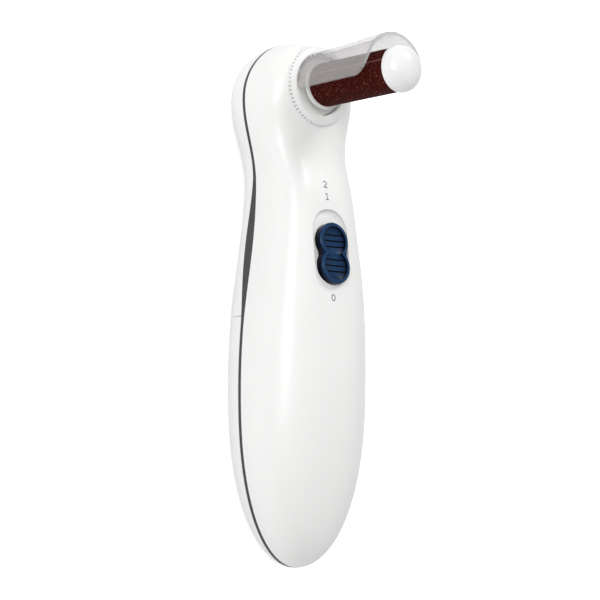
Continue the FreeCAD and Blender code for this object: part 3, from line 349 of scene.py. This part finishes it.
def guard_material(settings):
    """Moulded polycarbonate, clear but a little hazy from use: it veils what lies behind it,
    more where it curves away, and its cut front edge looks grey, as it is seen through its
    depth."""
    veil_starts, veil_gain = 0.35, 2.2
    edge_starts, edge_full, edge_opacity = 0.6, 0.9, 0.75
    cloud_mm, cloud = 7.0, 0.03
    wave_mm, wave_depth_mm = 12, 0.02
    material, tree, shader = new_material("clear_polycarbonate")
    # The guard colour's faint pink cast is a painted reflection of the sleeve behind the guard.
    place, tint = mottle(tree, settings.guard, cloud_mm, cloud)
    slow = add(tree, "ShaderNodeTexNoise", links=[("Vector", place.outputs["Object"])],
               Scale=1 / (wave_mm * MM), Detail=1.0)
    tree.links.new(bump(tree, slow.outputs["Fac"], wave_depth_mm), shader.inputs["Normal"])
    curve = add(tree, "ShaderNodeLayerWeight", Blend=0.25)
    veil = add(tree, "ShaderNodeMapRange", links=[("Value", curve.outputs["Facing"])],
               From_Min=veil_starts, To_Min=settings.guard_haze,
               To_Max=min(1.0, settings.guard_haze * veil_gain))
    facing = add(tree, "ShaderNodeSeparateXYZ", links=[("Vector", place.outputs["Normal"])])
    edge = add(tree, "ShaderNodeMapRange", links=[("Value", facing.outputs["Z"])],
               From_Min=edge_starts, From_Max=edge_full)
    opaque = add(tree, "ShaderNodeMix", data_type="FLOAT",
                 links=[("Factor", edge.outputs["Result"]), (VALUE_A, veil.outputs["Result"])])
    opaque.inputs[VALUE_B].default_value = edge_opacity
    tree.links.new(opaque.outputs[VALUE_MIXED], shader.inputs["Alpha"])
    greyed = add(tree, "ShaderNodeMix", data_type="RGBA",
                 links=[("Factor", edge.outputs["Result"]), (COLOUR_A, tint)])
    greyed.inputs[COLOUR_B].default_value = rgba(settings.guard_rim)
    tree.links.new(greyed.outputs[COLOUR_MIXED], shader.inputs["Base Color"])
    shader.inputs["Roughness"].default_value = 0.08
    shader.inputs["IOR"].default_value = POLYCARBONATE_IOR
    return material


# ---------------------------------------------------------------- mesh helpers

def paint(material, *names):
    """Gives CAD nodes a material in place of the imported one."""
    for name in names:
        slots = NODES[name].material_slots
        if slots:
            for entry in slots:
                entry.material = material
        else:
            NODES[name].data.materials.append(material)


def mesh_piece(name, mesh, material, body):
    """A finished mesh as a piece that rides on a body."""
    piece = bpy.data.objects.new(name, mesh)
    bpy.context.scene.collection.objects.link(piece)
    mesh.materials.clear()
    mesh.materials.append(material)
    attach(piece, body)
    return piece


def tree_of(node):
    """A CAD node's surface, for finding where a line meets it."""
    body = bmesh.new()
    body.from_mesh(NODES[node].data)
    tree = BVHTree.FromBMesh(body)
    body.free()
    return tree


def arc(centre, across, tall, start, finish, steps=14):
    """Points along part of an ellipse, between two angles in degrees."""
    angles = [math.radians(start + (finish - start) * i / steps) for i in range(steps + 1)]
    return [(centre[0] + across * math.cos(a), centre[1] + tall * math.sin(a)) for a in angles]


def numeral_strokes(text):
    """The pen strokes of a numeral, one unit tall and centred."""
    if text == "0":
        return [arc((0, 0), 0.29, 0.43, 90, 450, steps=28)]
    if text == "1":
        return [[(-0.25, 0.3), (0.0, 0.45)], [(0.0, 0.5), (0.0, -0.43)],
                [(-0.28, -0.43), (0.28, -0.43)]]
    return [arc((0, 0.21), 0.28, 0.22, 165, -38) + [(-0.29, -0.43)],
            [(-0.33, -0.43), (0.33, -0.43)]]


def numeral_mesh(text, height, line, y, surface):
    """One printed numeral as thin closed films that follow the surface under them."""
    deep, proud = 0.05 * MM, 0.03 * MM
    column = -0.3 * MM
    above = 0.2
    marks = bmesh.new()
    for stroke in numeral_strokes(text):
        points = [Vector((u * height, v * height, 0)) for u, v in stroke]
        closed = (points[0] - points[-1]).length < 1e-7
        rows = []
        for i, point in enumerate(points):
            before = points[i - 1] if i else (points[-2] if closed else point)
            after = points[i + 1] if i + 1 < len(points) else (points[1] if closed else point)
            way = (after - before).normalized()
            side = Vector((-way.y, way.x, 0)) * line / 2
            rows.append([marks.verts.new(point + side * sign + Vector((0, 0, z)))
                         for sign, z in ((1, 0), (-1, 0), (-1, -deep), (1, -deep))])
        for low, high in zip(rows, rows[1:]):
            for k in range(4):
                after = (k + 1) % 4
                marks.faces.new((low[k], low[after], high[after], high[k]))
        if not closed:
            marks.faces.new(rows[0])
            marks.faces.new(rows[-1][::-1])
    bmesh.ops.remove_doubles(marks, verts=marks.verts, dist=1e-7)
    bmesh.ops.recalc_face_normals(marks, faces=marks.faces)
    for vertex in marks.verts:
        spot = Vector((column + vertex.co.x, y + vertex.co.y, above))
        hit, normal, _, _ = surface.ray_cast(spot, Vector((0, 0, -1)))
        vertex.co = hit + normal * (vertex.co.z + proud)
    mesh = bpy.data.meshes.new("numeral")
    marks.to_mesh(mesh)
    marks.free()
    return mesh


def grain_tree():
    """Scatters faceted grains over a surface, each turned and sized its own way."""
    tree = bpy.data.node_groups.new("scatter_grit", "GeometryNodeTree")
    face = tree.interface
    face.new_socket("Geometry", in_out="INPUT", socket_type="NodeSocketGeometry")
    size = face.new_socket("Grain size", in_out="INPUT", socket_type="NodeSocketFloat")
    density = face.new_socket("Density", in_out="INPUT", socket_type="NodeSocketFloat")
    finish = face.new_socket("Material", in_out="INPUT", socket_type="NodeSocketMaterial")
    face.new_socket("Geometry", in_out="OUTPUT", socket_type="NodeSocketGeometry")
    given = tree.nodes.new("NodeGroupInput")
    points = add(tree, "GeometryNodeDistributePointsOnFaces", Seed=7,
                 links=[("Mesh", given.outputs["Geometry"]),
                        ("Density", given.outputs["Density"])])
    # A grain's radius is half its size.
    radius = add(tree, "ShaderNodeMath", operation="MULTIPLY",
                 links=[(0, given.outputs["Grain size"])])
    radius.inputs[1].default_value = 0.5
    grain = add(tree, "GeometryNodeMeshIcoSphere", Subdivisions=1,
                links=[("Radius", radius.outputs["Value"])])
    # Each grain is turned up to a whole turn every way, and flattened or drawn out.
    whole_turn = 6.3
    turn = add(tree, "FunctionNodeRandomValue", data_type="FLOAT_VECTOR",
               Min=(0, 0, 0), Max=(whole_turn, whole_turn, whole_turn))
    stretch = add(tree, "FunctionNodeRandomValue", data_type="FLOAT_VECTOR",
                  Min=(0.5, 0.5, 0.5), Max=(1.15, 1.15, 0.95))
    placed = add(tree, "GeometryNodeInstanceOnPoints",
                 links=[("Points", points.outputs["Points"]), ("Instance", grain.outputs["Mesh"]),
                        ("Rotation", turn.outputs["Value"]),
                        ("Scale", stretch.outputs["Value"])])
    real = add(tree, "GeometryNodeRealizeInstances",
               links=[("Geometry", placed.outputs["Instances"])])
    coat = add(tree, "GeometryNodeSetMaterial",
               links=[("Geometry", real.outputs["Geometry"]),
                      ("Material", given.outputs["Material"])])
    out = tree.nodes.new("NodeGroupOutput")
    tree.links.new(coat.outputs["Geometry"], out.inputs["Geometry"])
    return tree, {"size": size.identifier, "density": density.identifier,
                  "finish": finish.identifier}


def grain_mesh(settings, material):
    """The grains that stand proud of the sleeve, as one plain mesh."""
    around = 96
    sunk = 0.03 * MM
    low, high = (Vector(corner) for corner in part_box("abrasive_sleeve"))
    middle = (low + high) / 2
    radius = (high.x - low.x) / 2 - sunk
    margin = settings.grain_size / 2
    base = bmesh.new()
    rings = [[base.verts.new((middle.x + radius * math.cos(2 * math.pi * i / around),
                              middle.y + radius * math.sin(2 * math.pi * i / around), z))
              for i in range(around)] for z in (low.z + margin, high.z - margin)]
    for i in range(around):
        after = (i + 1) % around
        base.faces.new((rings[0][i], rings[0][after], rings[1][after], rings[1][i]))
    surface = bpy.data.meshes.new("grit_base")
    base.to_mesh(surface)
    base.free()
    holder = bpy.data.objects.new("grit_base", surface)
    bpy.context.scene.collection.objects.link(holder)
    tree, sockets = grain_tree()
    scatter = holder.modifiers.new("scatter", "NODES")
    scatter.node_group = tree
    area = 2 * math.pi * radius * (high.z - low.z - 2 * margin)
    scatter[sockets["size"]] = settings.grain_size
    scatter[sockets["density"]] = settings.grain_count / area
    scatter[sockets["finish"]] = material
    mesh = bpy.data.meshes.new_from_object(
        holder.evaluated_get(bpy.context.evaluated_depsgraph_get()))
    holder.modifiers.remove(scatter)
    bpy.data.objects.remove(holder)
    mesh.name = "grit_grains"
    return mesh


# ---------------------------------------------------------------- stage helpers

def set_camera(scene, settings):
    """A long lens that looks down on the front face from the left."""
    aim_height, aim_right, aim_up = 16 * MM, 3.0 * MM, 1.4 * MM
    roll = Matrix.Rotation(CAMERA_ROLL, 3, CAMERA_BACK)
    right, up, back = roll @ CAMERA_RIGHT, roll @ CAMERA_UP, CAMERA_BACK
    aim = Vector((0, 0, aim_height)) + right * aim_right + up * aim_up
    place = aim + back * settings.distance
    camera = bpy.data.objects.new("camera", bpy.data.cameras.new("camera"))
    scene.collection.objects.link(camera)
    camera.matrix_world = Matrix((
        (right.x, up.x, back.x, place.x),
        (right.y, up.y, back.y, place.y),
        (right.z, up.z, back.z, place.z),
        (0, 0, 0, 1)))
    camera.data.sensor_width = SENSOR_MM
    camera.data.lens = SENSOR_MM * settings.distance / settings.picture_width
    camera.data.clip_end = 20.0
    scene.camera = camera


def lay_floor(scene, settings):
    """A wide matt sweep. The camera sees it brighter than it is lit, so that it is white to its
    edges, and this extra brightness throws no light on the appliance."""
    half = 6.0
    sweep = bpy.data.meshes.new("floor")
    sweep.from_pydata([(-half, -half, 0), (half, -half, 0), (half, half, 0),
                       (-half, half, 0)], [], [(0, 1, 2, 3)])
    floor = bpy.data.objects.new("floor", sweep)
    scene.collection.objects.link(floor)
    material, tree, shader = new_material("matt_sweep")
    shader.inputs["Base Color"].default_value = rgba(settings.floor)
    shader.inputs["Roughness"].default_value = 0.9
    shader.inputs["Emission Color"].default_value = (1, 1, 1, 1)
    seen = add(tree, "ShaderNodeLightPath")
    glow = add(tree, "ShaderNodeMapRange", links=[("Value", seen.outputs["Is Camera Ray"])],
               To_Max=settings.floor_shine)
    tree.links.new(glow.outputs["Result"], shader.inputs["Emission Strength"])
    sweep.materials.append(material)
    floor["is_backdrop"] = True


def surround(settings):
    """White light from all round, a little stronger from the left than from the right."""
    left, right = 1.17, 0.83
    world = bpy.data.worlds.new("studio")
    world.use_nodes = True
    tree = world.node_tree
    backdrop = tree.nodes["Background"]
    backdrop.inputs["Color"].default_value = (1, 1, 1, 1)
    around = add(tree, "ShaderNodeTexCoord")
    split = add(tree, "ShaderNodeSeparateXYZ", links=[("Vector", around.outputs["Generated"])])
    fall = add(tree, "ShaderNodeMapRange", links=[("Value", split.outputs["X"])],
               From_Min=-1.0, To_Min=settings.fill * left, To_Max=settings.fill * right)
    tree.links.new(fall.outputs["Result"], backdrop.inputs["Strength"])
    return world


# ---------------------------------------------------------------- operators

class CALLUS_OT_handle(bpy.types.Operator):
    """Finishes the shells, covers, trim band, collar, roller core and end cap"""
    bl_idname = "callus.handle"
    bl_label = "Handle"

    def execute(self, context):
        settings = context.scene.callus_handle
        shell = moulded("polished_white_abs", settings.shell, 0.36, spread=0.006,
                        texture_mm=0.5, texture_depth=0.0008, wave_depth=0.03, coat=0.12)
        paint(shell, "front_shell", "rear_shell", "battery_cover")
        small = moulded("satin_white_abs", settings.shell, 0.24, spread=0.006,
                        texture_mm=0.4, texture_depth=0.001)
        paint(small, "guard_collar", "roller_core", "bearing_cover")
        cap = moulded("polished_cap_abs", settings.cap, 0.2, spread=0.004, texture_depth=0.0006,
                      coat=0.4)
        paint(cap, "end_cap")
        trim = moulded("dark_grey_abs", settings.trim, 0.38, spread=0.03, texture_depth=0.004)
        paint(trim, "trim_band")
        return {"FINISHED"}


class CALLUS_OT_button(bpy.types.Operator):
    """Finishes the navy slide button"""
    bl_idname = "callus.button"
    bl_label = "Slide Button"

    def execute(self, context):
        settings = context.scene.callus_handle
        paint(button_material(settings), "slide_button")
        return {"FINISHED"}


class CALLUS_OT_numerals(bpy.types.Operator):
    """Prints the three switch positions on the front shell"""
    bl_idname = "callus.numerals"
    bl_label = "Numerals"

    def execute(self, context):
        settings = context.scene.callus_handle
        ink = moulded("pad_printed_ink", settings.print_grey, 0.5, spread=0.02)
        shell = tree_of("front_shell")
        mesh = bpy.data.meshes.new("switch_numerals")
        marks = bmesh.new()
        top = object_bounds()[1][1]
        for text, from_top in (("2", settings.numeral_2), ("1", settings.numeral_1),
                               ("0", settings.numeral_0)):
            marks.from_mesh(numeral_mesh(text, settings.numeral_height, settings.numeral_line,
                                         top - from_top, shell))
        marks.to_mesh(mesh)
        marks.free()
        mesh_piece("switch_numerals", mesh, ink, "handle")
        return {"FINISHED"}


class CALLUS_OT_abrasive(bpy.types.Operator):
    """Covers the sleeve with bonded grit"""
    bl_idname = "callus.abrasive"
    bl_label = "Abrasive Sleeve"

    def execute(self, context):
        settings = context.scene.callus_roller
        sleeve_cell_mm, grain_cell_mm = 0.3, 0.22
        paint(grit_material("bonded_grit", settings, sleeve_cell_mm), "abrasive_sleeve")
        grain = grit_material("grit_grain", settings, grain_cell_mm)
        mesh_piece("grit_grains", grain_mesh(settings, grain), grain, "roller")
        return {"FINISHED"}


class CALLUS_OT_guard(bpy.types.Operator):
    """Finishes the clear guard"""
    bl_idname = "callus.guard"
    bl_label = "Guard"

    def execute(self, context):
        paint(guard_material(context.scene.callus_roller), "clear_guard")
        return {"FINISHED"}


class CALLUS_OT_drive(bpy.types.Operator):
    """Finishes the motor, gears, shaft, switch and battery bay inside the handle"""
    bl_idname = "callus.drive"
    bl_label = "Drive and Battery Bay"

    def execute(self, context):
        steel = metal("bright_steel", linear("#c4c6c9"), 0.28)
        paint(steel, "spindle_shaft", "motor_shaft", "motor_screws", "case_screws",
              "frame_screws")
        paint(metal("drawn_steel_can", linear("#b3b6ba"), 0.34, streak=(4.0, 0.3, 4.0)),
              "motor_can")
        paint(metal("nickel_spring", linear("#d6d6d2"), 0.2), "contact_springs",
              "contact_plates", "retaining_clip")
        paint(metal("sintered_bronze", linear("#b08350"), 0.42, grain_mm=0.2, depth=0.006),
              "front_bearing", "rear_bush", "motor_pinion")
        paint(metal("enamelled_copper", linear("#b4602f"), 0.35, streak=(1.0, 0.2, 1.0)),
              "motor_armature")
        paint(moulded("natural_acetal", linear("#e9e4d4"), 0.35), "crown_gear", "drive_hub")
        paint(moulded("grey_acetal", linear("#5a5b5e"), 0.42), "drive_frame", "battery_tray")
        paint(moulded("black_abs", linear("#202124"), 0.4), "motor_end_cap", "switch_lever",
              "switch_base", "board_parts")
        paint(moulded("ferrite", linear("#2c2a2b"), 0.6), "motor_magnets")
        paint(moulded("solder_mask", linear("#1d5a35"), 0.3), "circuit_board")
        paint(moulded("cell_jacket", linear("#3d4450"), 0.25), "battery_cell_left",
              "battery_cell_right")
        return {"FINISHED"}


class CALLUS_OT_stage(bpy.types.Operator):
    """Sets the camera, the white sweep and the soft lights"""
    bl_idname = "callus.stage"
    bl_label = "Stage"

    def execute(self, context):
        settings = context.scene.callus_stage
        set_camera(context.scene, settings)
        lay_floor(context.scene, settings)
        # Where each softbox stands, in metres from the middle of the appliance, and its side.
        for name, place, side, power in (
                ("key", (-0.85, 0.25, 0.95), 0.6, settings.key_power),
                ("top", (0.6, 0.95, 0.85), 0.3, settings.top_power)):
            light = bpy.data.lights.new(name, "AREA")
            light.shape = "SQUARE"
            light.size = side
            light.energy = power
            lamp = bpy.data.objects.new(name, light)
            lamp.location = place
            lamp.rotation_mode = "QUATERNION"
            lamp.rotation_quaternion = (-Vector(place)).to_track_quat("-Z", "Y")
            context.scene.collection.objects.link(lamp)
        context.scene.world = surround(settings)
        context.scene.view_settings.view_transform = "Standard"
        return {"FINISHED"}


class CALLUS_PT_panel(bpy.types.Panel):
    """Lists the pieces of the callus remover"""
    bl_idname = "CALLUS_PT_panel"
    bl_label = "Callus Remover"
    bl_space_type = "VIEW_3D"
    bl_region_type = "UI"
    bl_category = "Callus Remover"

    def draw(self, context):
        for operator in OPERATORS:
            self.layout.operator(operator.bl_idname)


SETTINGS = (("callus_handle", HandleSettings), ("callus_roller", RollerSettings),
            ("callus_stage", StageSettings))
OPERATORS = (CALLUS_OT_stage, CALLUS_OT_handle, CALLUS_OT_button, CALLUS_OT_numerals,
             CALLUS_OT_abrasive, CALLUS_OT_guard, CALLUS_OT_drive)


def register():
    for name, group in SETTINGS:
        bpy.utils.register_class(group)
        setattr(bpy.types.Scene, name, bpy.props.PointerProperty(type=group))
    for cls in (*OPERATORS, CALLUS_PT_panel):
        bpy.utils.register_class(cls)


def unregister():
    for cls in reversed((*OPERATORS, CALLUS_PT_panel)):
        bpy.utils.unregister_class(cls)
    for name, group in reversed(SETTINGS):
        delattr(bpy.types.Scene, name)
        bpy.utils.unregister_class(group)


def main():
    """Registers the add-on and builds every piece in order."""
    register()
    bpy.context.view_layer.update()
    for operator in OPERATORS:
        getattr(bpy.ops.callus, operator.bl_idname.split(".")[1])()


if __name__ == "__main__":
    main()
